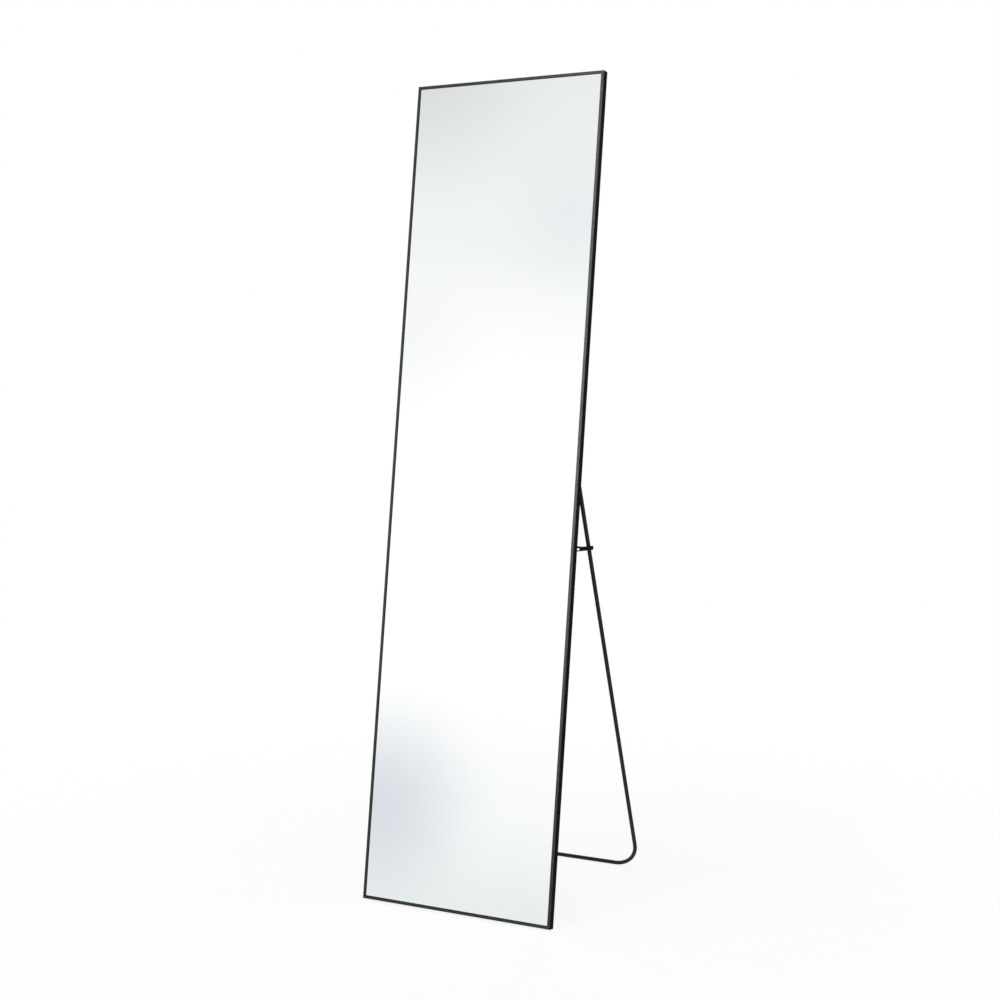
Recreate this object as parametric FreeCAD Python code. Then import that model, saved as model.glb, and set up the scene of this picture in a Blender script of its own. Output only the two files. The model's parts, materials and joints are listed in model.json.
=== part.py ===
"""A tall, narrow floor mirror that leans back on a folding tube stand. All sizes are in millimetres.

Row frame: +X is to the right as seen from the front, +Y points to the back and +Z up. The origin is
on the floor, in the middle of the footprint.

The mirror's pieces are drawn upright first: x across from the middle, y back from the front face and
z up from the bottom edge. lean_back() then tips them about the frame's rear bottom edge, which the
foot pads hold just above the floor. The stand is drawn hanging from its hinge, and open_stand() turns
it to where its foot bar meets the floor. The limiter is drawn level, with its pins on the X axis, and
set_limiter() tips it and moves it to its pivots.

Pieces that come in pairs are drawn for the right-hand side, and mirrored() gives the left-hand one.
"""
import FreeCAD, Part
import math
import os

V = FreeCAD.Vector

# Whole mirror
WIDTH = 405.0  # outside of the frame
HEIGHT = 1600.0
LEAN = 8.0  # degrees back from upright

# Frame profile
FRAME_DEPTH = 16.0
WALL = 1.2
LIP = 5.5  # what the front lip covers, from the outside
FLANGE = 8.0  # rear flange and middle web, from the outside
RETURN = 0.8  # turned-in edges that hold the corner keys in their channel
BACK_ROUND = 1.5
FRONT_ROUND = 0.5
MITRE_GAP = 0.1

# Panel, from the front to the back
GLASS = 4.0
FILM = 0.2
FOAM = 1.2
BOARD = 3.0
PANEL_PLAY = 1.3  # between the panel's edge and the frame's side wall

# Corner keys and their screws
KEY_ARM = 32.0
KEY_FIT = 0.15
KEY_SCREW_AT = 22.0  # from the corner of the frame
SCREW = 3.0
SCREW_LENGTH = 4.6
SCREW_HEAD = 5.2
SCREW_HEAD_HEIGHT = 1.5
RECESS_WIDTH = 0.7
RECESS_LENGTH = 3.0
RECESS_DEPTH = 0.8

# Stand
TUBE = 8.0
TUBE_WALL = 1.0
TUBE_BEND = 52.0  # centre line of the two lower corners
LEG_INSET = 17.5  # centre of a leg, from the outside of the frame
HINGE_HEIGHT = 851.0  # along the frame, from its bottom edge
HINGE_STANDOFF = 10.0  # behind the frame
FOOT_REACH = 431.0  # centre of the foot bar, behind the frame's rear bottom edge

# Leg eyes, hinge bolts, washers and nuts
EYE = 3.0
EYE_WIDTH = 10.0
EYE_REACH = 20.0  # from the bolt to the end of the tube
COLLAR = 3.0
PLUG_LENGTH = 12.0
BOLT = 5.0
BOLT_HEAD = 8.4
BOLT_HEAD_HEIGHT = 2.6
BOLT_PROUD = 0.5  # what shows past the nut
SOCKET = 3.0
SOCKET_DEPTH = 1.4
NUT_ACROSS = 8.0
NUT_HEIGHT = 2.8
NUT_COLLAR = 7.0
NUT_COLLAR_HEIGHT = 1.2
WASHER = 10.0
WASHER_THICKNESS = 0.8

# Brackets and rivets
BRACKET_EDGE = 2.0  # outer edge of a bracket, from the outside of the frame
HINGE_PLATE = 1.5
HINGE_BASE = 44.0
HINGE_EAR = 14.0
LIMITER_PLATE = 1.2
LIMITER_BASE = 30.0
LIMITER_EAR = 9.0
RIVET = 3.2
RIVET_HEAD = 5.6
RIVET_HEAD_HEIGHT = 1.1
RIVET_TAIL = 4.4
RIVET_TAIL_HEIGHT = 1.0
RIVET_MARGIN = 7.0  # from the end of a bracket's base

# Limiter: two flat arms on pins, and the rod that joins them behind the legs
LIMITER_HEIGHT = 698.0  # its pivots, along the frame
LIMITER_STANDOFF = 6.0  # its pivots, behind the frame
ARM = 8.0  # height of an arm
ARM_THICKNESS = 1.5
ARM_TILT = 2.7  # degrees down to the back
SLOT = 3.6
SLOT_START = 10.0  # from the pivot
SLOT_END = 30.0
ROD = 3.0
ROD_MARGIN = 2.5  # from the middle of the rod to the end of an arm
ROD_HEAD = 4.6
ROD_HEAD_HEIGHT = 0.8
PIN = 3.0
PIN_END = 3.0  # what shows past the bracket
SHOULDER = 5.0
SHOULDER_LENGTH = 3.0

# Foot pads
PAD_LENGTH = 30.0
PAD_HEEL = 0.8  # under the frame's rear bottom edge
PAD_FRONT = 10.0  # set back from the front face
PAD_REAR = 0.5  # set in from the rear face
PAD_FROM_SIDE = 25.0

# Clearances
RUN_GAP = 0.1  # between flat faces that turn on each other
PIN_FIT = 0.06  # round a hinge pin
HOLE_FIT = 0.05  # round a fastener or a plug that doesn't turn
LEG_GAP = 0.5  # between a leg and the arm beside it
REST_GAP = 0.3  # between a leg and the rod that it rests on
OVERCUT = 1.0  # how far a cutter reaches past what it cuts

# Worked out from the sizes above
lean = math.radians(LEAN)
glass_y = WALL
film_y = glass_y + GLASS
foam_y = film_y + FILM
board_y = foam_y + FOAM
web_y = board_y + BOARD
channel_y = web_y + WALL
channel_depth = FRAME_DEPTH - WALL - channel_y
leg_x = WIDTH / 2 - LEG_INSET
bolt_head_x = leg_x - EYE / 2 - RUN_GAP - WASHER_THICKNESS
hinge_ear_x = leg_x + EYE / 2 + RUN_GAP + WASHER_THICKNESS
nut_x = hinge_ear_x + HINGE_PLATE + WASHER_THICKNESS
arm_x = leg_x + TUBE / 2 + LEG_GAP  # inner face of an arm
pin_x = arm_x + ARM_THICKNESS
limiter_ear_x = pin_x + SHOULDER_LENGTH + RUN_GAP
rivet_x = WIDTH / 2 - FLANGE / 2
rear_edge_y = (FRAME_DEPTH * math.cos(lean) - FOOT_REACH - TUBE / 2) / 2


def leaned(y, z):
    """Row-frame place of a point of the upright mirror, on its middle plane."""
    back = y - FRAME_DEPTH
    return V(
        0,
        rear_edge_y + back * math.cos(lean) + z * math.sin(lean),
        PAD_HEEL - back * math.sin(lean) + z * math.cos(lean),
    )


hinge = leaned(FRAME_DEPTH + HINGE_STANDOFF, HINGE_HEIGHT)
foot = V(0, rear_edge_y + FOOT_REACH, TUBE / 2)
leg_length = (foot - hinge).Length
leg_angle = math.atan2(foot.y - hinge.y, hinge.z - foot.z)

limiter_pivot = leaned(FRAME_DEPTH + LIMITER_STANDOFF, LIMITER_HEIGHT)
rod_from_leg = (TUBE + ROD) / 2 + REST_GAP
leg_from_pivot = (hinge.y - limiter_pivot.y) * math.cos(leg_angle)
leg_from_pivot += (hinge.z - limiter_pivot.z) * math.sin(leg_angle)
arm_length = (leg_from_pivot + rod_from_leg) / math.cos(leg_angle + math.radians(ARM_TILT))

fold_angle = math.degrees(leg_angle + lean)
folded_drop = math.asin((HINGE_STANDOFF + rod_from_leg - LIMITER_STANDOFF) / arm_length)
limiter_fold_angle = 90 + LEAN - ARM_TILT - math.degrees(folded_drop)


def lean_back(shape):
    """Move an upright piece of the mirror to where it stands."""
    placed = shape.copy()
    placed.rotate(V(0, FRAME_DEPTH, 0), V(1, 0, 0), -LEAN)
    placed.translate(V(0, rear_edge_y - FRAME_DEPTH, PAD_HEEL))
    return placed


def open_stand(shape):
    """Move a piece that hangs straight down from a hinge at the origin to where it stands."""
    placed = shape.copy()
    placed.rotate(V(0, 0, 0), V(1, 0, 0), math.degrees(leg_angle))
    placed.translate(hinge)
    return placed


def set_limiter(shape):
    """Tip a piece of the level limiter, with its pins on the X axis, and move it to its pivots."""
    placed = shape.copy()
    placed.rotate(V(0, 0, 0), V(1, 0, 0), -ARM_TILT)
    placed.translate(limiter_pivot)
    return placed


def mirrored(shape):
    return shape.mirror(V(0, 0, 0), V(1, 0, 0))


def both_sides(shape):
    return Part.makeCompound([shape, mirrored(shape)])


def box(low, high):
    size = V(*high) - V(*low)
    return Part.makeBox(size.x, size.y, size.z, V(*low))


def rod(diameter, start, end):
    run = V(*end) - V(*start)
    return Part.makeCylinder(diameter / 2, run.Length, V(*start), run)


def plate(points, run):
    """A flat closed outline, pushed out along run."""
    outline = [V(*point) for point in points]
    return Part.Face(Part.makePolygon(outline + outline[:1])).extrude(V(*run))


def merged(solids):
    return solids[0].fuse(solids[1:]).removeSplitter()


def rounded_route(points, radii):
    """Straight runs through points, with a tangent arc of its own radius at each inner point."""
    edges = []
    start = points[0]
    for before, corner, after, radius in zip(points, points[1:], points[2:], radii):
        incoming = (corner - before).normalize()
        outgoing = (after - corner).normalize()
        half_turn = incoming.getAngle(outgoing) / 2
        tangent = radius * math.tan(half_turn)
        inward = (outgoing - incoming).normalize()
        middle = corner + inward * (radius / math.cos(half_turn) - radius)
        arc_start = corner - incoming * tangent
        arc_end = corner + outgoing * tangent
        edges.append(Part.LineSegment(start, arc_start).toShape())
        edges.append(Part.Arc(arc_start, middle, arc_end).toShape())
        start = arc_end
    edges.append(Part.LineSegment(start, points[-1]).toShape())
    return Part.Wire(edges)


def swept_round(route, diameter):
    first = route.Edges[0]
    start = first.valueAt(first.FirstParameter)
    ring = Part.Wire(Part.makeCircle(diameter / 2, start, first.tangentAt(first.FirstParameter)))
    return route.makePipeShell([ring], True, False)


def dome(diameter, height):
    """A low round head on the XY plane."""
    radius = diameter / 2
    ball = (radius**2 + height**2) / (2 * height)
    half_angle = math.asin(min(1, radius / ball)) / 2
    middle = V(ball * math.sin(half_angle), 0, height - ball + ball * math.cos(half_angle))
    side = Part.Wire(
        [
            Part.LineSegment(V(0, 0, 0), V(radius, 0, 0)).toShape(),
            Part.Arc(V(radius, 0, 0), middle, V(0, 0, height)).toShape(),
            Part.LineSegment(V(0, 0, height), V(0, 0, 0)).toShape(),
        ]
    )
    return Part.Face(side).revolve(V(0, 0, 0), V(0, 0, 1), 360)


def hexagon(across, height):
    corner = across / 2 / math.cos(math.radians(30))
    angles = [math.radians(60 * step) for step in range(6)]
    return plate([(corner * math.cos(a), corner * math.sin(a), 0) for a in angles], (0, 0, height))


def facing_back(shape, x, y, z):
    """Turn a fastener's head from +Z to the mirror's back, and move it to its place."""
    placed = shape.copy()
    placed.rotate(V(0, 0, 0), V(1, 0, 0), -90)
    placed.translate(V(x, y, z))
    return placed


def facing_side(shape, x, outward):
    """Turn a fastener's head from +Z to the side of the mirror, or inward, on the hinge line."""
    placed = shape.copy()
    placed.rotate(V(0, 0, 0), V(0, 1, 0), 90 if outward else -90)
    placed.translate(V(x, FRAME_DEPTH + HINGE_STANDOFF, HINGE_HEIGHT))
    return placed


# Frame


def edges_along_x(solid, y, z):
    """The edges parallel to X that pass through y and z."""
    found = []
    for edge in solid.Edges:
        ends = [vertex.Point for vertex in edge.Vertexes]
        if all(abs(end.y - y) < 1e-6 and abs(end.z - z) < 1e-6 for end in ends):
            found.append(edge)
    return found


def frame_side(length):
    """One side of the frame, lying along X with its outside on z = 0 and its mitres cut."""
    key_edge = FLANGE - WALL
    rear_y = FRAME_DEPTH - WALL
    outline = [
        (0, 0),
        (0, LIP),
        (WALL, LIP),
        (WALL, WALL),
        (web_y, WALL),
        (web_y, FLANGE),
        (channel_y + RETURN, FLANGE),
        (channel_y + RETURN, key_edge),
        (channel_y, key_edge),
        (channel_y, WALL),
        (rear_y, WALL),
        (rear_y, key_edge),
        (rear_y - RETURN, key_edge),
        (rear_y - RETURN, FLANGE),
        (FRAME_DEPTH, FLANGE),
        (FRAME_DEPTH, 0),
    ]
    bar = plate([(-length / 2, y, z) for y, z in outline], (length, 0, 0))
    bar = bar.makeFillet(BACK_ROUND, edges_along_x(bar, FRAME_DEPTH, 0))
    bar = bar.makeFillet(FRONT_ROUND, edges_along_x(bar, 0, 0))
    outer = length / 2 - MITRE_GAP / math.sqrt(2)
    inner = outer - FLANGE
    wedge = [(-outer, 0, 0), (outer, 0, 0), (inner, 0, FLANGE), (-inner, 0, FLANGE)]
    return bar.common(plate(wedge, (0, FRAME_DEPTH, 0)))


def flange_hole(x, z, diameter):
    """A round cutter through the rear flange."""
    reach = WALL + RETURN
    return rod(diameter + 2 * HOLE_FIT, (x, FRAME_DEPTH - reach, z), (x, FRAME_DEPTH + reach, z))


def screw_holes(length):
    """Cutters for the key screws of a side that lies along X."""
    at = length / 2 - KEY_SCREW_AT
    return [flange_hole(x, FLANGE / 2, SCREW) for x in (-at, at)]


def rivet_heights(height, base_length):
    """Heights of the two rivets in a bracket."""
    half = base_length / 2 - RIVET_MARGIN
    return [height - half, height + half]


def bracket_rivet_holes():
    """Cutters for the rivets of both brackets of a stile."""
    heights = rivet_heights(HINGE_HEIGHT, HINGE_BASE) + rivet_heights(LIMITER_HEIGHT, LIMITER_BASE)
    return [flange_hole(rivet_x, z, RIVET) for z in heights]


def bottom_rail():
    return frame_side(WIDTH).cut(screw_holes(WIDTH))


def top_rail():
    rail = bottom_rail()
    rail.rotate(V(0, 0, 0), V(0, 1, 0), 180)
    rail.translate(V(0, 0, HEIGHT))
    return rail


def right_stile():
    stile = frame_side(HEIGHT).cut(screw_holes(HEIGHT))
    stile.rotate(V(0, 0, 0), V(0, 1, 0), -90)
    stile.translate(V(WIDTH / 2, 0, HEIGHT / 2))
    return stile.cut(bracket_rivet_holes())


def in_four_corners(shape):
    """A piece of the lower right corner, repeated in all four."""
    right = [shape, shape.mirror(V(0, 0, HEIGHT / 2), V(0, 0, 1))]
    return Part.makeCompound(right + [mirrored(piece) for piece in right])


def corner_keys():
    outside = WALL + KEY_FIT
    inside = FLANGE - WALL - KEY_FIT
    outline = [
        (outside, outside),
        (KEY_ARM, outside),
        (KEY_ARM, inside),
        (inside, inside),
        (inside, KEY_ARM),
        (outside, KEY_ARM),
    ]
    front = channel_y + KEY_FIT
    key = plate(
        [(WIDTH / 2 - across, front, up) for across, up in outline],
        (0, channel_depth - 2 * KEY_FIT, 0),
    )
    middle = FLANGE / 2
    holes = [
        rod(SCREW + 2 * HOLE_FIT, (WIDTH / 2 - across, channel_y, up), (WIDTH / 2 - across, FRAME_DEPTH, up))
        for across, up in ((KEY_SCREW_AT, middle), (middle, KEY_SCREW_AT))
    ]
    return in_four_corners(key.cut(holes))


def key_screw():
    head = dome(SCREW_HEAD, SCREW_HEAD_HEIGHT)
    shank = rod(SCREW, (0, 0, -SCREW_LENGTH), (0, 0, 0))
    half = RECESS_LENGTH / 2
    low = SCREW_HEAD_HEIGHT - RECESS_DEPTH
    slot = box((-half, -RECESS_WIDTH / 2, low), (half, RECESS_WIDTH / 2, SCREW_HEAD_HEIGHT))
    crossing = slot.copy()
    crossing.rotate(V(0, 0, 0), V(0, 0, 1), 90)
    return merged([head, shank]).cut([slot, crossing])


def corner_screws():
    middle = FLANGE / 2
    pair = [
        facing_back(key_screw(), WIDTH / 2 - across, FRAME_DEPTH, up)
        for across, up in ((KEY_SCREW_AT, middle), (middle, KEY_SCREW_AT))
    ]
    return in_four_corners(Part.makeCompound(pair))


def panel_layer(front, thickness):
    """One sheet of the panel, as large as the glass."""
    margin = WALL + PANEL_PLAY
    half = WIDTH / 2 - margin
    return box((-half, front, margin), (half, front + thickness, HEIGHT - margin))


def foot_pads():
    """Wedges under the bottom rail, with their lower faces flat on the floor."""
    top_front = leaned(PAD_FRONT, 0)
    top_rear = leaned(FRAME_DEPTH - PAD_REAR, 0)
    outer = WIDTH / 2 - PAD_FROM_SIDE
    side = [
        (outer, top_front.y, 0),
        (outer, top_rear.y, 0),
        (outer, top_rear.y, top_rear.z),
        (outer, top_front.y, top_front.z),
    ]
    return both_sides(plate(side, (-PAD_LENGTH, 0, 0)))


# Brackets on the stiles


def bracket(ear_x, thickness, height, base_length, ear_width, standoff, hole):
    """A bent plate: a base on the rear flange, and an ear that stands back from it with a hole."""
    outer = WIDTH / 2 - BRACKET_EDGE
    back = FRAME_DEPTH + standoff
    half = base_length / 2
    base = box((ear_x, FRAME_DEPTH, height - half), (outer, FRAME_DEPTH + thickness, height + half))
    ear = box(
        (ear_x, FRAME_DEPTH, height - ear_width / 2),
        (ear_x + thickness, back, height + ear_width / 2),
    )
    nose = rod(ear_width, (ear_x, back, height), (ear_x + thickness, back, height))
    holes = [rod(hole, (ear_x - OVERCUT, back, height), (ear_x + thickness + OVERCUT, back, height))]
    front = FRAME_DEPTH - OVERCUT
    rear = FRAME_DEPTH + thickness + OVERCUT
    for z in rivet_heights(height, base_length):
        holes.append(rod(RIVET + 2 * HOLE_FIT, (rivet_x, front, z), (rivet_x, rear, z)))
    return merged([base, ear, nose]).cut(holes)


def right_hinge_bracket():
    hole = BOLT + 2 * HOLE_FIT
    return bracket(
        hinge_ear_x, HINGE_PLATE, HINGE_HEIGHT, HINGE_BASE, HINGE_EAR, HINGE_STANDOFF, hole
    )


def right_limiter_bracket():
    hole = PIN + 2 * PIN_FIT
    return bracket(
        limiter_ear_x,
        LIMITER_PLATE,
        LIMITER_HEIGHT,
        LIMITER_BASE,
        LIMITER_EAR,
        LIMITER_STANDOFF,
        hole,
    )


def rivets(plate_thickness, heights):
    tail_y = -(plate_thickness + WALL)
    rivet = merged(
        [
            dome(RIVET_HEAD, RIVET_HEAD_HEIGHT),
            rod(RIVET, (0, 0, tail_y), (0, 0, 0)),
            rod(RIVET_TAIL, (0, 0, tail_y - RIVET_TAIL_HEIGHT), (0, 0, tail_y)),
        ]
    )
    face = FRAME_DEPTH + plate_thickness
    return both_sides(Part.makeCompound([facing_back(rivet, rivet_x, face, z) for z in heights]))


# Hinge fasteners


def hinge_washers():
    ring = rod(WASHER, (0, 0, 0), (0, 0, WASHER_THICKNESS))
    ring = ring.cut(rod(BOLT + 2 * HOLE_FIT, (0, 0, -OVERCUT), (0, 0, WASHER_THICKNESS + OVERCUT)))
    places = [bolt_head_x, hinge_ear_x - WASHER_THICKNESS, hinge_ear_x + HINGE_PLATE]
    return both_sides(Part.makeCompound([facing_side(ring, x, True) for x in places]))


def hinge_bolts():
    length = nut_x + NUT_HEIGHT + NUT_COLLAR_HEIGHT + BOLT_PROUD - bolt_head_x
    bolt = merged([dome(BOLT_HEAD, BOLT_HEAD_HEIGHT), rod(BOLT, (0, 0, -length), (0, 0, 0))])
    socket = hexagon(SOCKET, BOLT_HEAD_HEIGHT)
    socket.translate(V(0, 0, BOLT_HEAD_HEIGHT - SOCKET_DEPTH))
    return both_sides(facing_side(bolt.cut(socket), bolt_head_x, False))


def hinge_nuts():
    height = NUT_HEIGHT + NUT_COLLAR_HEIGHT
    nut = merged([hexagon(NUT_ACROSS, NUT_HEIGHT), rod(NUT_COLLAR, (0, 0, 0), (0, 0, height))])
    nut = nut.cut(rod(BOLT + 2 * HOLE_FIT, (0, 0, -OVERCUT), (0, 0, height + OVERCUT)))
    return both_sides(facing_side(nut, nut_x, True))


# Stand


def stand_tube():
    """One tube: down a leg, along the floor and up the other leg."""
    corners = [
        V(leg_x, 0, -EYE_REACH),
        V(leg_x, 0, -leg_length),
        V(-leg_x, 0, -leg_length),
        V(-leg_x, 0, -EYE_REACH),
    ]
    route = rounded_route(corners, [TUBE_BEND, TUBE_BEND])
    return open_stand(swept_round(route, TUBE).cut(swept_round(route, TUBE - 2 * TUBE_WALL)))


def right_leg_eye():
    """A flat drilled lug with a collar, and a plug that sits in the end of the tube."""
    half = EYE / 2
    lug = merged(
        [
            rod(EYE_WIDTH, (leg_x - half, 0, 0), (leg_x + half, 0, 0)),
            box((leg_x - half, -EYE_WIDTH / 2, COLLAR - EYE_REACH), (leg_x + half, EYE_WIDTH / 2, 0)),
            rod(TUBE, (leg_x, 0, -EYE_REACH), (leg_x, 0, COLLAR - EYE_REACH)),
            rod(
                TUBE - 2 * TUBE_WALL - 2 * HOLE_FIT,
                (leg_x, 0, -EYE_REACH - PLUG_LENGTH),
                (leg_x, 0, -EYE_REACH),
            ),
        ]
    )
    hole = rod(BOLT + 2 * PIN_FIT, (leg_x - EYE, 0, 0), (leg_x + EYE, 0, 0))
    return open_stand(lug.cut(hole))


# Limiter


def across_arm(diameter, y):
    """A round cutter through an arm."""
    return rod(diameter, (arm_x - OVERCUT, y, 0), (pin_x + OVERCUT, y, 0))


def right_limiter_arm():
    """A flat slotted bar with round ends, and a shouldered pin that turns in the bracket's ear."""
    half = ARM / 2
    end = arm_length + ROD_MARGIN - half
    pin_end = limiter_ear_x + LIMITER_PLATE + PIN_END
    arm = merged(
        [
            rod(ARM, (arm_x, 0, 0), (pin_x, 0, 0)),
            box((arm_x, 0, -half), (pin_x, end, half)),
            rod(ARM, (arm_x, end, 0), (pin_x, end, 0)),
            rod(SHOULDER, (pin_x, 0, 0), (pin_x + SHOULDER_LENGTH, 0, 0)),
            rod(PIN, (pin_x, 0, 0), (pin_end, 0, 0)),
        ]
    )
    slot_first = SLOT_START + SLOT / 2
    slot_last = SLOT_END - SLOT / 2
    slot = box(
        (arm_x - OVERCUT, slot_first, -SLOT / 2),
        (pin_x + OVERCUT, slot_last, SLOT / 2),
    )
    holes = [across_arm(SLOT, slot_first), across_arm(SLOT, slot_last)]
    rod_hole = across_arm(ROD + 2 * HOLE_FIT, arm_length)
    return set_limiter(arm.cut([slot, rod_hole] + holes))


def limiter_rod():
    """The rod behind both legs, with its ends spread over the arms."""
    head = dome(ROD_HEAD, ROD_HEAD_HEIGHT)
    head.rotate(V(0, 0, 0), V(0, 1, 0), 90)
    head.translate(V(pin_x, 0, 0))
    bar = merged([rod(ROD, (-pin_x, 0, 0), (pin_x, 0, 0)), head, mirrored(head)])
    bar.translate(V(0, arm_length, 0))
    return set_limiter(bar)


def all_nodes():
    hinge_rivets = rivets(HINGE_PLATE, rivet_heights(HINGE_HEIGHT, HINGE_BASE))
    limiter_rivets = rivets(LIMITER_PLATE, rivet_heights(LIMITER_HEIGHT, LIMITER_BASE))
    upright = {
        "bottom_rail": bottom_rail(),
        "top_rail": top_rail(),
        "right_stile": right_stile(),
        "left_stile": mirrored(right_stile()),
        "corner_keys": corner_keys(),
        "corner_screws": corner_screws(),
        "mirror_glass": panel_layer(glass_y, GLASS),
        "safety_film": panel_layer(film_y, FILM),
        "foam_sheet": panel_layer(foam_y, FOAM),
        "backboard": panel_layer(board_y, BOARD),
        "right_hinge_bracket": right_hinge_bracket(),
        "left_hinge_bracket": mirrored(right_hinge_bracket()),
        "hinge_bracket_rivets": hinge_rivets,
        "hinge_washers": hinge_washers(),
        "hinge_bolts": hinge_bolts(),
        "hinge_nuts": hinge_nuts(),
        "right_limiter_bracket": right_limiter_bracket(),
        "left_limiter_bracket": mirrored(right_limiter_bracket()),
        "limiter_bracket_rivets": limiter_rivets,
    }
    nodes = {name: lean_back(shape) for name, shape in upright.items()}
    nodes["foot_pads"] = foot_pads()
    nodes["stand_tube"] = stand_tube()
    nodes["right_leg_eye"] = right_leg_eye()
    nodes["left_leg_eye"] = mirrored(right_leg_eye())
    nodes["right_limiter_arm"] = right_limiter_arm()
    nodes["left_limiter_arm"] = mirrored(right_limiter_arm())
    nodes["limiter_rod"] = limiter_rod()
    return nodes


os.makedirs("parts", exist_ok=True)
for name, shape in all_nodes().items():
    shape.exportStep(f"parts/{name}.step")
print(f"hinge {hinge}, leg {leg_length:.2f} long at {math.degrees(leg_angle):.3f} degrees from upright")
print(f"limiter pivots {limiter_pivot}, arms {arm_length:.2f} long from pivot to rod")
print(f"the stand folds by {fold_angle:.3f} degrees and the limiter by {limiter_fold_angle:.3f}")
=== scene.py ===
"""Looks of the leaning floor mirror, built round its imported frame. All sizes are in metres.

The upright place of a point is measured across, back from the front face and up from the bottom
edge, as if the mirror stood straight. upright_place() gives it to the materials of the mirror, and
leaned() turns one into a place in the row's frame.
"""
import json
import math

import bmesh
import bpy
from mathutils import Matrix, Vector


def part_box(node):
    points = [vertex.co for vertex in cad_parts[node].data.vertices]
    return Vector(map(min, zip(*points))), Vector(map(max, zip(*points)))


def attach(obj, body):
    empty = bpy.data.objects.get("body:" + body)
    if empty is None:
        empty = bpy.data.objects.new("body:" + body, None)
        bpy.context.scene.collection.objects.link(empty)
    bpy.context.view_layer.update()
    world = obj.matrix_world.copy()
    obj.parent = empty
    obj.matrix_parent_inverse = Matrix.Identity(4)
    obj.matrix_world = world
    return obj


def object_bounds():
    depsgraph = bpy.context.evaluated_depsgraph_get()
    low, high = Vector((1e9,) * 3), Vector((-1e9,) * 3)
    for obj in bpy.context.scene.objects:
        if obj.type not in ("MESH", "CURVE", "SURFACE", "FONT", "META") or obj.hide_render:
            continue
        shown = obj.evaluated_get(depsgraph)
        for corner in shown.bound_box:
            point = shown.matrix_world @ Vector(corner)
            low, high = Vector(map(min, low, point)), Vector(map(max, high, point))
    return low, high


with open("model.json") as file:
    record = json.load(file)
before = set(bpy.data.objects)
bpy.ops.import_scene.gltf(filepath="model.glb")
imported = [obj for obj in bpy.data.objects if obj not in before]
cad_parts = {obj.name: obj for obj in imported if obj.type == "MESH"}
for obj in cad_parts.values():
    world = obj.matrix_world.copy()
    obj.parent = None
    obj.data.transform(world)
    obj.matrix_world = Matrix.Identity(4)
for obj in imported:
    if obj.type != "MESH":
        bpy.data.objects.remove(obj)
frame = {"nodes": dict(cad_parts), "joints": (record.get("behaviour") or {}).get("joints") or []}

cad_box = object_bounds()

# Sizes that repeat the construction
LEAN = math.radians(8)
FRAME_DEPTH = 0.016
FRAME_HEIGHT = 1.6
FRAME_WIDTH = cad_box[1][0] - cad_box[0][0]
LIP = 0.0055  # what the front lip covers, from the outside
GLASS_FRONT = 0.0012  # behind the frame's front face
REAR_EDGE = Vector((0, -0.20958, 0.0008))  # the frame's rear bottom edge
TUBE = 0.008
EYE_REACH = 0.020  # from the hinge to the end of the stand's tube

# Camera, fitted to the photograph's straight edges
IMAGE_SIZE = 1000
FOCAL_PIXELS = 1695.8
SENSOR = 36.0
CAMERA_PLACE = (1.5508, -2.9491, 1.0219)
CAMERA_YAW = math.radians(28.05)
CAMERA_PITCH = math.radians(-4.312)


# Small helpers for shader nodes


class Shader:
    """The node tree of a new material or of the world, with short ways to add nodes."""

    def __init__(self, owner):
        owner.use_nodes = True
        self.tree = owner.node_tree
        self.tree.nodes.clear()

    def node(self, kind, **settings):
        made = self.tree.nodes.new(kind)
        for name, value in settings.items():
            setattr(made, name, value)
        return made

    def link(self, source, target):
        self.tree.links.new(source, target)

    def put(self, target, value):
        """Feed a socket from another socket, or set it to a plain value."""
        if isinstance(value, bpy.types.NodeSocket):
            self.link(value, target)
        else:
            target.default_value = value

    def add(self, kind, value, **settings):
        """A new node whose first input is fed or set."""
        made = self.node(kind, **settings)
        self.put(made.inputs[0], value)
        return made

    def math(self, operation, first, second=0.0):
        made = self.add("ShaderNodeMath", first, operation=operation)
        self.put(made.inputs[1], second)
        return made.outputs[0]

    def least(self, *values):
        least = values[0]
        for value in values[1:]:
            least = self.math("MINIMUM", least, value)
        return least

    def range(self, value, low, high, to_low=0.0, to_high=1.0, smooth=False):
        """Carry low to high over to to_low to to_high. The ends hold beyond them."""
        kind = "SMOOTHSTEP" if smooth else "LINEAR"
        made = self.node("ShaderNodeMapRange", interpolation_type=kind)
        for socket, entry in zip(made.inputs, (value, low, high, to_low, to_high)):
            self.put(socket, entry)
        return made.outputs[0]

    def mix(self, factor, first, second, blend="MIX"):
        """Blend two colours, each a socket or three plain numbers."""
        made = self.node("ShaderNodeMix", data_type="RGBA", blend_type=blend)
        self.put(made.inputs[0], factor)
        for socket, entry in ((made.inputs[6], first), (made.inputs[7], second)):
            self.put(socket, entry if isinstance(entry, bpy.types.NodeSocket) else (*entry, 1))
        return made.outputs[2]

    def split(self, vector):
        return self.add("ShaderNodeSeparateXYZ", vector).outputs

    def noise(self, place, scale, detail=3.0, roughness=0.5):
        made = self.node("ShaderNodeTexNoise")
        self.put(made.inputs["Vector"], place)
        made.inputs["Scale"].default_value = scale
        made.inputs["Detail"].default_value = detail
        made.inputs["Roughness"].default_value = roughness
        return made.outputs["Fac"]

    def stretched_noise(self, place, scales, scale=1.0, detail=2.0, roughness=0.5):
        """Noise with a scale of its own along each axis."""
        stretched = self.add("ShaderNodeMapping", place)
        stretched.inputs["Scale"].default_value = scales
        return self.noise(stretched.outputs[0], scale, detail, roughness)

    def bump(self, height, distance, strength=1.0):
        made = self.node("ShaderNodeBump")
        self.put(made.inputs["Height"], height)
        made.inputs["Distance"].default_value = distance
        made.inputs["Strength"].default_value = strength
        return made.outputs[0]


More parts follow.
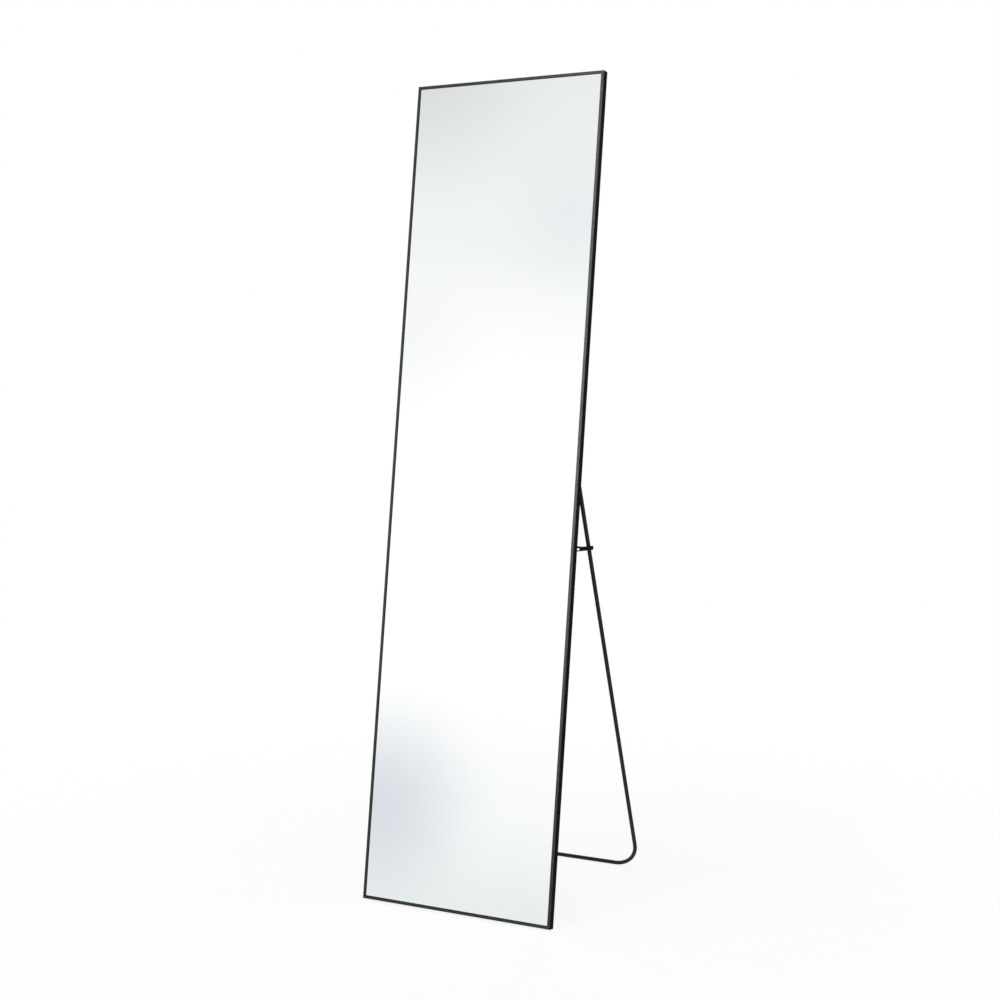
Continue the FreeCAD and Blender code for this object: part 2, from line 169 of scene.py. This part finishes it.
def row_place(shader):
    """Row-frame place of a point: every object's own origin is the row's origin."""
    return shader.node("ShaderNodeTexCoord").outputs["Object"]


def upright_place(shader):
    """Place across, back from the front face and up from the bottom edge, before leaning."""
    moved = shader.add("ShaderNodeVectorMath", row_place(shader), operation="SUBTRACT")
    moved.inputs[1].default_value = REAR_EDGE
    turned = shader.add("ShaderNodeVectorRotate", moved.outputs[0], rotation_type="X_AXIS")
    turned.inputs["Angle"].default_value = LEAN
    raised = shader.add("ShaderNodeVectorMath", turned.outputs[0], operation="ADD")
    raised.inputs[1].default_value = (0, FRAME_DEPTH, 0)
    return raised.outputs[0]


def surface(name, **plain):
    """A new material with a Principled surface. plain sets sockets that are the same all over."""
    material = bpy.data.materials.new(name)
    shader = Shader(material)
    principled = shader.node("ShaderNodeBsdfPrincipled")
    output = shader.node("ShaderNodeOutputMaterial")
    shader.link(principled.outputs[0], output.inputs["Surface"])
    for socket, value in plain.items():
        principled.inputs[socket.replace("_", " ")].default_value = value
    return material, shader, principled.inputs


# Materials

WORN_EDGE = (0.0003, 0.0012)  # from where to where the rubbing fades, from an edge of the frame
LINE_SCALES = (4.0, 2600.0)  # of the frame's drawing lines, along its profile and across it
COOLER = 1.05  # how much bluer the paler paint is


def frame_wear(shader, place):
    """Where the frame is rubbed: patches along the outer edges of its profile."""
    across, back, up = shader.split(place)
    from_side = shader.math("SUBTRACT", FRAME_WIDTH / 2, shader.math("ABSOLUTE", across))
    from_outside = shader.least(from_side, up, shader.math("SUBTRACT", FRAME_HEIGHT, up))
    from_face = shader.least(back, shader.math("SUBTRACT", FRAME_DEPTH, back))
    from_edge = shader.math("MAXIMUM", from_outside, from_face)
    near = shader.range(from_edge, *WORN_EDGE, 1.0, 0.0, smooth=True)
    patchy = shader.range(shader.noise(place, scale=38.0, detail=5.0, roughness=0.65), 0.47, 0.60)
    return shader.math("MULTIPLY", near, patchy)


def anodised_black(name, along):
    """Black satin aluminium with fine drawing lines along the profile, specks and rubbed edges."""
    material, shader, into = surface(name, IOR=1.38)
    place = upright_place(shader)
    line_along, line_across = LINE_SCALES
    lines = shader.stretched_noise(place, tuple(line_along if a else line_across for a in along))
    cloud = shader.noise(place, scale=9.0, detail=4.0)
    speck = shader.range(shader.noise(place, scale=700.0, detail=2.0), 0.66, 0.74, 0.0, 0.25)
    wear = frame_wear(shader, place)
    tone = shader.mix(cloud, (0.0045, 0.0045, 0.0050), (0.0075, 0.0075, 0.0080))
    tone = shader.mix(speck, tone, (0.05, 0.05, 0.05))
    tone = shader.mix(shader.math("MULTIPLY", wear, 0.7), tone, (0.050, 0.050, 0.051))
    shader.link(tone, into["Base Color"])
    rough = shader.range(cloud, 0.3, 0.7, 0.27, 0.34)
    rough = shader.math("ADD", rough, shader.range(lines, 0.3, 0.7, -0.03, 0.03))
    shader.link(shader.math("ADD", rough, shader.math("MULTIPLY", wear, 0.12)), into["Roughness"])
    shader.link(shader.bump(lines, 0.00002, 0.35), into["Normal"])
    return material


def powder_coat(name, dark, pale, rough):
    """Black powder paint with an orange-peel skin, fine scratches and a few chalky scuffs."""
    material, shader, into = surface(name, IOR=1.36)
    place = row_place(shader)
    cloud = shader.noise(place, scale=14.0, detail=4.0)
    peel = shader.noise(place, scale=900.0, detail=2.0)
    fine = shader.stretched_noise(place, (900, 60, 60))
    scratch = shader.range(fine, 0.70, 0.76, 0.0, 0.25)
    scuffs = shader.noise(place, scale=45.0, detail=5.0, roughness=0.7)
    scuff = shader.range(scuffs, 0.64, 0.74, 0.0, 0.35)
    tone = shader.mix(cloud, (dark, dark, dark), (pale, pale, pale * COOLER))
    tone = shader.mix(shader.math("MAXIMUM", scuff, scratch), tone, (0.035, 0.035, 0.035))
    shader.link(tone, into["Base Color"])
    even = shader.range(cloud, 0.3, 0.7, rough - 0.05, rough + 0.06)
    shader.link(shader.math("ADD", even, shader.math("MULTIPLY", scuff, 0.3)), into["Roughness"])
    shader.link(shader.bump(peel, 0.00005, 0.5), into["Normal"])
    return material


def silvered_glass():
    """The mirror: clear, with a breath of haze that varies from place to place."""
    material, shader, into = surface("silvered_glass", Metallic=1.0)
    place = upright_place(shader)
    haze = shader.noise(place, scale=5.0)
    shader.link(shader.mix(haze, (0.985, 0.990, 0.988), (0.975, 0.985, 0.982)), into["Base Color"])
    smear = shader.stretched_noise(place, (6, 1, 2), scale=2.0, detail=5.0, roughness=0.6)
    shader.link(shader.range(smear, 0.45, 0.8, 0.0, 0.02), into["Roughness"])
    return material


def fibreboard():
    """Bare brown fibreboard: mottled, with short fibres, darker flecks and a few pale rubs."""
    material, shader, into = surface("fibreboard", IOR=1.35)
    place = upright_place(shader)
    cloud = shader.noise(place, scale=6.0, detail=5.0)
    mottle = shader.noise(place, scale=70.0, detail=4.0, roughness=0.6)
    fibre = shader.stretched_noise(place, (900, 900, 260), detail=4.0, roughness=0.7)
    fleck = shader.range(shader.noise(place, scale=420.0), 0.60, 0.68, 0.0, 0.7)
    drift = shader.stretched_noise(place, (3, 3, 0.7), scale=5.0, detail=6.0, roughness=0.7)
    rub = shader.range(drift, 0.58, 0.76, 0.0, 0.4)
    tone = shader.mix(cloud, (0.21, 0.127, 0.072), (0.37, 0.25, 0.152))
    tone = shader.mix(shader.range(mottle, 0.35, 0.65, 0.0, 0.4), tone, (0.18, 0.108, 0.060))
    tone = shader.mix(shader.range(fibre, 0.35, 0.7, 0.0, 0.5), tone, (0.42, 0.30, 0.19))
    tone = shader.mix(rub, tone, (0.48, 0.37, 0.26))
    tone = shader.mix(fleck, tone, (0.10, 0.06, 0.035))
    shader.link(tone, into["Base Color"])
    shader.link(shader.range(fibre, 0.2, 0.8, 0.66, 0.9), into["Roughness"])
    shader.link(shader.bump(shader.math("ADD", fibre, mottle), 0.0003, 0.5), into["Normal"])
    return material


def plated_steel():
    """Zinc-plated steel, cloudy, with duller and darker spots."""
    material, shader, into = surface("plated_steel", Metallic=1.0)
    place = row_place(shader)
    cloud = shader.noise(place, scale=260.0)
    spot = shader.range(shader.noise(place, scale=900.0, detail=2.0), 0.62, 0.70, 0.0, 0.5)
    tone = shader.mix(cloud, (0.50, 0.51, 0.52), (0.64, 0.65, 0.64))
    shader.link(shader.mix(spot, tone, (0.30, 0.29, 0.27)), into["Base Color"])
    even = shader.range(cloud, 0.3, 0.7, 0.25, 0.42)
    shader.link(shader.math("ADD", even, shader.math("MULTIPLY", spot, 0.3)), into["Roughness"])
    shader.link(shader.bump(cloud, 0.00003, 0.4), into["Normal"])
    return material


def pad_rubber():
    """Dull black rubber with a grainy skin and a little dust."""
    material, shader, into = surface("pad_rubber", IOR=1.45)
    place = row_place(shader)
    grain = shader.noise(place, scale=1500.0, detail=2.0)
    cloud = shader.noise(place, scale=60.0)
    shader.link(shader.mix(cloud, (0.018, 0.018, 0.018), (0.035, 0.034, 0.033)), into["Base Color"])
    shader.link(shader.range(cloud, 0.3, 0.7, 0.75, 0.9), into["Roughness"])
    shader.link(shader.bump(grain, 0.00006, 0.6), into["Normal"])
    return material


def painted_shade_rubber():
    """Deep black, very dull rubber for the strip that is painted shade: the dark line inside the lip.
    """
    material, shader, into = surface("painted_shade_rubber", IOR=1.2)
    place = row_place(shader)
    grain = shader.noise(place, scale=1800.0, detail=2.0)
    cloud = shader.noise(place, scale=80.0)
    tone = shader.mix(cloud, (0.0015, 0.0015, 0.0015), (0.0035, 0.0035, 0.0035))
    shader.link(tone, into["Base Color"])
    shader.link(shader.range(cloud, 0.3, 0.7, 0.6, 0.8), into["Roughness"])
    shader.link(shader.bump(grain, 0.00003, 0.4), into["Normal"])
    return material


def sheet_plastic(name, dark, pale):
    """Thin plastic film or foam, which only shows at the panel's edges."""
    material, shader, into = surface(name)
    cloud = shader.noise(upright_place(shader), scale=30.0)
    shader.link(shader.mix(cloud, dark, pale), into["Base Color"])
    shader.link(shader.range(cloud, 0.3, 0.7, 0.45, 0.6), into["Roughness"])
    shader.link(shader.bump(cloud, 0.0001, 0.2), into["Normal"])
    return material


def dress(material, *nodes):
    """Put a material in the slots of CAD nodes."""
    for name in nodes:
        for slot in frame["nodes"][name].material_slots:
            slot.material = material


def dress_all(painted):
    dress(anodised_black("anodised_upright", (False, False, True)), "left_stile", "right_stile")
    dress(anodised_black("anodised_across", (True, False, False)), "top_rail", "bottom_rail")
    dress(painted, "stand_tube", "left_leg_eye", "right_leg_eye")
    dress(painted, "left_hinge_bracket", "right_hinge_bracket")
    dress(painted, "left_limiter_bracket", "right_limiter_bracket")
    dress(painted, "left_limiter_arm", "right_limiter_arm", "limiter_rod")
    rivet_paint = powder_coat("rivet_paint", dark=0.010, pale=0.018, rough=0.34)
    dress(rivet_paint, "hinge_bracket_rivets", "limiter_bracket_rivets")
    dress(silvered_glass(), "mirror_glass")
    dress(fibreboard(), "backboard")
    dress(plated_steel(), "corner_keys", "corner_screws", "hinge_bolts", "hinge_nuts", "hinge_washers")
    dress(pad_rubber(), "foot_pads")
    dress(sheet_plastic("film", (0.30, 0.33, 0.37), (0.36, 0.39, 0.43)), "safety_film")
    dress(sheet_plastic("foam", (0.78, 0.78, 0.77), (0.86, 0.86, 0.85)), "foam_sheet")


# Making the small pieces


def closed_skin(rings, smooth):
    """A skin through rings of points that joins each ring to the next, and the last to the first."""
    skin = bmesh.new()
    rows = [[skin.verts.new(point) for point in ring] for ring in rings]
    for row, next_row in zip(rows, rows[1:] + rows[:1]):
        for corner in range(len(row)):
            after = (corner + 1) % len(row)
            face = skin.faces.new((row[corner], next_row[corner], next_row[after], row[after]))
            face.smooth = smooth
    bmesh.ops.recalc_face_normals(skin, faces=skin.faces)
    return skin


def make_piece(name, skin, material, body):
    """Turn a finished skin into an object that rides on a body."""
    mesh = bpy.data.meshes.new(name)
    skin.to_mesh(mesh)
    skin.free()
    mesh.materials.append(material)
    piece = bpy.data.objects.new(name, mesh)
    bpy.context.scene.collection.objects.link(piece)
    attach(piece, body)


# Weld beads where the leg eyes meet the tube

BEAD_RADIUS = 0.0007  # of the bead's own section, outward from the tube
BEAD_HEIGHT = 1.6  # of that section along the tube, as a share of its radius
BEAD_RIPPLE = 0.22  # share of that radius
BEAD_RIPPLES = 22
BEAD_STEPS = 176
BEAD_SIDES = 10


def leg_line():
    """The hinge's place, and the direction of the legs down from it."""
    hinge = Vector(frame["joints"][0]["pos_m"])
    low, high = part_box("stand_tube")
    foot = Vector((0, high.y - TUBE / 2, low.z + TUBE / 2))
    return hinge, (foot - hinge).normalized()


def weld_bead(name, side, painted):
    """A rippled ring round the tube's end, where the collar of the eye is welded to it."""
    hinge, down = leg_line()
    eye_low, eye_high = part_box(f"{side}_leg_eye")
    middle = hinge + down * EYE_REACH
    middle.x = (eye_low.x + eye_high.x) / 2
    turn = down.to_track_quat("Z", "X")
    rings = []
    for step in range(BEAD_STEPS):
        angle = 2 * math.pi * step / BEAD_STEPS
        section = BEAD_RADIUS * (1 + BEAD_RIPPLE * math.cos(BEAD_RIPPLES * angle))
        ring = []
        for corner in range(BEAD_SIDES):
            lift = 2 * math.pi * corner / BEAD_SIDES
            out = TUBE / 2 + section * math.cos(lift)
            along = BEAD_HEIGHT * section * math.sin(lift)
            point = Vector((out * math.cos(angle), out * math.sin(angle), along))
            ring.append(middle + turn @ point)
        rings.append(ring)
    make_piece(name, closed_skin(rings, smooth=True), painted, "stand")


# Painted shade: a near-black strip in the corner between the front lip and the glass, which draws the
# dark line of shadow and reflection inside the lip

SHADE_STRIP_CLEAR = 0.00002  # between the strip and the glass
SHADE_STRIP_OUTLINE = (  # inward from the lip's edge, and forward from the glass
    (0.0, 0.0),
    (0.0, 0.0009),
    (0.00030, 0.00085),
    (0.00055, 0.00070),
    (0.00075, 0.00042),
    (0.00085, 0.0),
)


def leaned(across, back, up):
    """Row-frame place of an upright place."""
    turned = Matrix.Rotation(-LEAN, 3, "X") @ Vector((across, back - FRAME_DEPTH, up))
    return REAR_EDGE + turned


def painted_shade_strip():
    """A thin near-black strip all round the glass, painted shade for the dark line inside the lip,
    with one ring of four corners for each outline point.
    """
    rings = []
    for inward, forward in SHADE_STRIP_OUTLINE:
        side = FRAME_WIDTH / 2 - LIP - inward
        low = LIP + inward
        high = FRAME_HEIGHT - low
        back = GLASS_FRONT - SHADE_STRIP_CLEAR - forward
        corners = ((-side, low), (side, low), (side, high), (-side, high))
        rings.append([leaned(across, back, up) for across, up in corners])
    make_piece("painted_shade_strip", closed_skin(rings, smooth=False), painted_shade_rubber(), "mirror")


# Studio

SKY_LOW = -6.0
SKY_HIGH = 30.0
SKY_TONES = (  # elevation in degrees, and the tone that gloss sees there
    (SKY_LOW, (0.82, 0.85, 0.855)),
    (-3.5, (0.83, 0.863, 0.87)),
    (-1.0, (0.94, 0.957, 0.957)),
    (4.0, (1.04, 1.04, 1.04)),
    (13.5, (1.04, 1.04, 1.04)),
    (15.2, (1.0, 1.005, 1.005)),
    (16.7, (0.955, 0.965, 0.97)),
    (18.0, (0.905, 0.922, 0.93)),
    (20.5, (0.872, 0.897, 0.905)),
    (23.0, (0.85, 0.87, 0.88)),
    (SKY_HIGH, (0.76, 0.78, 0.79)),
)
SOFTBOX_AZIMUTH = 18.5  # too far right to show in the glass
SOFTBOX_ELEVATIONS = (22.0, 14.0, 6.0)  # one patch above the other makes it tall
SKY_PATCHES = (  # azimuth and elevation, from where to where it fades out, and its tint
    (31.0, -0.6, 0.0, 4.2, (0.75, 0.775, 0.825)),  # cool and low
    (33.8, 24.0, 0.0, 6.0, (0.83, 0.825, 0.82)),  # high, on the left
    (32.5, 14.5, 0.0, 3.5, (0.93, 0.94, 0.95)),
    (27.3, 19.5, 0.0, 3.0, (0.94, 0.955, 0.965)),
    *((SOFTBOX_AZIMUTH, elevation, 3.0, 6.0, (9.0, 9.0, 9.0)) for elevation in SOFTBOX_ELEVATIONS),
    (-155.0, -6.0, 24.0, 46.0, (0.04, 0.04, 0.04)),  # a black flag behind, on the right
)
WORLD_LEVEL = 0.62


def towards(azimuth, elevation):
    """Direction at an azimuth from straight in front to the left, and an elevation, in degrees."""
    flat = math.cos(math.radians(elevation))
    turn = math.radians(azimuth)
    return Vector((-math.sin(turn) * flat, -math.cos(turn) * flat, math.sin(math.radians(elevation))))


def degrees_between(shader, ray, direction):
    dot = shader.add("ShaderNodeVectorMath", ray, operation="DOT_PRODUCT")
    dot.inputs[1].default_value = direction
    angle = shader.math("ARCCOSINE", shader.math("MINIMUM", dot.outputs["Value"], 1.0))
    return shader.math("MULTIPLY", angle, 180 / math.pi)


def sky_tone(shader):
    """What gloss sees: white in front, greyer above and below, with a few soft patches."""
    ray = shader.node("ShaderNodeTexCoord").outputs["Generated"]
    height = shader.math("ARCSINE", shader.split(ray)[2])
    place = shader.range(height, math.radians(SKY_LOW), math.radians(SKY_HIGH))
    ramp = shader.add("ShaderNodeValToRGB", place)
    stops = ramp.color_ramp.elements
    while len(stops) < len(SKY_TONES):
        stops.new(0.5)
    for stop, (degrees, tone) in zip(stops, SKY_TONES):
        stop.position = (degrees - SKY_LOW) / (SKY_HIGH - SKY_LOW)
        stop.color = (*tone, 1)
    seen = ramp.outputs[0]
    for azimuth, elevation, inner, outer, tint in SKY_PATCHES:
        away = degrees_between(shader, ray, towards(azimuth, elevation))
        amount = shader.range(away, inner, outer, 1.0, 0.0, smooth=True)
        seen = shader.mix(amount, seen, shader.mix(1.0, seen, tint, "MULTIPLY"))
    return seen


def studio_world():
    """White for the camera, a plain even light for the object, and the studio's tones in gloss."""
    world = bpy.data.worlds.new("studio")
    bpy.context.scene.world = world
    shader = Shader(world)
    rays = shader.node("ShaderNodeLightPath").outputs
    in_gloss = shader.math("MAXIMUM", rays["Is Glossy Ray"], rays["Is Transmission Ray"])
    colour = shader.mix(in_gloss, (WORLD_LEVEL, WORLD_LEVEL, WORLD_LEVEL), sky_tone(shader))
    colour = shader.mix(rays["Is Camera Ray"], colour, (1, 1, 1))
    background = shader.add("ShaderNodeBackground", colour)
    shader.link(background.outputs[0], shader.node("ShaderNodeOutputWorld").inputs["Surface"])


FLOOR_RADIUS = 4.0
FLOOR_SIDES = 96
FLOOR_FADE = (0.5, 1.6)  # from where to where the floor turns plain white for the camera
FLOOR_SHADE = 0.15  # how much of the floor's own shading the camera sees near the mirror


def studio_floor():
    """A pale round floor that keeps the shadow near the mirror, and fades to white around it."""
    bpy.ops.mesh.primitive_circle_add(vertices=FLOOR_SIDES, radius=FLOOR_RADIUS, fill_type="NGON")
    floor = bpy.context.object
    floor.name = "floor"
    floor.visible_glossy = False
    material = bpy.data.materials.new("floor")
    shader = Shader(material)
    place = row_place(shader)
    length = shader.add("ShaderNodeVectorMath", place, operation="LENGTH").outputs["Value"]
    white_part = shader.range(length, *FLOOR_FADE, 1 - FLOOR_SHADE, 1.0, smooth=True)
    camera = shader.node("ShaderNodeLightPath").outputs["Is Camera Ray"]
    matt = shader.node("ShaderNodeBsdfDiffuse")
    grain = shader.noise(place, scale=3.0, detail=2.0)
    shader.link(shader.mix(grain, (0.90, 0.90, 0.90), (0.92, 0.92, 0.92)), matt.inputs["Color"])
    white = shader.node("ShaderNodeEmission")
    blend = shader.add("ShaderNodeMixShader", shader.math("MULTIPLY", white_part, camera))
    shader.link(matt.outputs[0], blend.inputs[1])
    shader.link(white.outputs[0], blend.inputs[2])
    shader.link(blend.outputs[0], shader.node("ShaderNodeOutputMaterial").inputs["Surface"])
    floor.data.materials.append(material)


SOFT_LAMPS = (  # name, place, what it faces, width and height, brightness
    ("strip", (-0.85, -3.2, 2.2), (0.0, -0.1, 2.2), (0.5, 2.4), 9.0),
    ("overhead", (0.0, -0.2, 3.8), (0.0, 0.0, 1.0), (1.8, 1.8), 2.2),
    ("right", (3.0, 0.6, 1.3), (0.0, 0.0, 1.0), (1.0, 1.6), 1.6),
    ("rear", (-1.4, 3.0, 2.4), (0.0, 0.0, 0.9), (1.6, 1.4), 3.0),
)


def studio_lamps():
    for name, place, target, (width, height), brightness in SOFT_LAMPS:
        data = bpy.data.lights.new(name, "AREA")
        data.shape = "RECTANGLE"
        data.size = width
        data.size_y = height
        data.energy = brightness * math.pi * width * height
        lamp = bpy.data.objects.new(name, data)
        lamp.location = place
        aim = Vector(target) - Vector(place)
        lamp.rotation_euler = aim.to_track_quat("-Z", "Y").to_euler()
        bpy.context.scene.collection.objects.link(lamp)


def studio_camera():
    data = bpy.data.cameras.new("camera")
    data.sensor_width = SENSOR
    data.lens = FOCAL_PIXELS / IMAGE_SIZE * SENSOR
    data.clip_start = 0.05
    camera = bpy.data.objects.new("camera", data)
    camera.location = CAMERA_PLACE
    camera.rotation_euler = (math.pi / 2 + CAMERA_PITCH, 0, CAMERA_YAW)
    bpy.context.scene.collection.objects.link(camera)
    bpy.context.scene.camera = camera


paint = powder_coat("powder_coat", dark=0.004, pale=0.008, rough=0.38)
dress_all(paint)
weld_bead("weld_bead_right", "right", paint)
weld_bead("weld_bead_left", "left", paint)
# painted shade: a near-black strip for the dark line of shadow and reflection inside the lip
painted_shade_strip()
studio_world()
studio_floor()
studio_lamps()
studio_camera()
bpy.context.scene.view_settings.view_transform = "Standard"
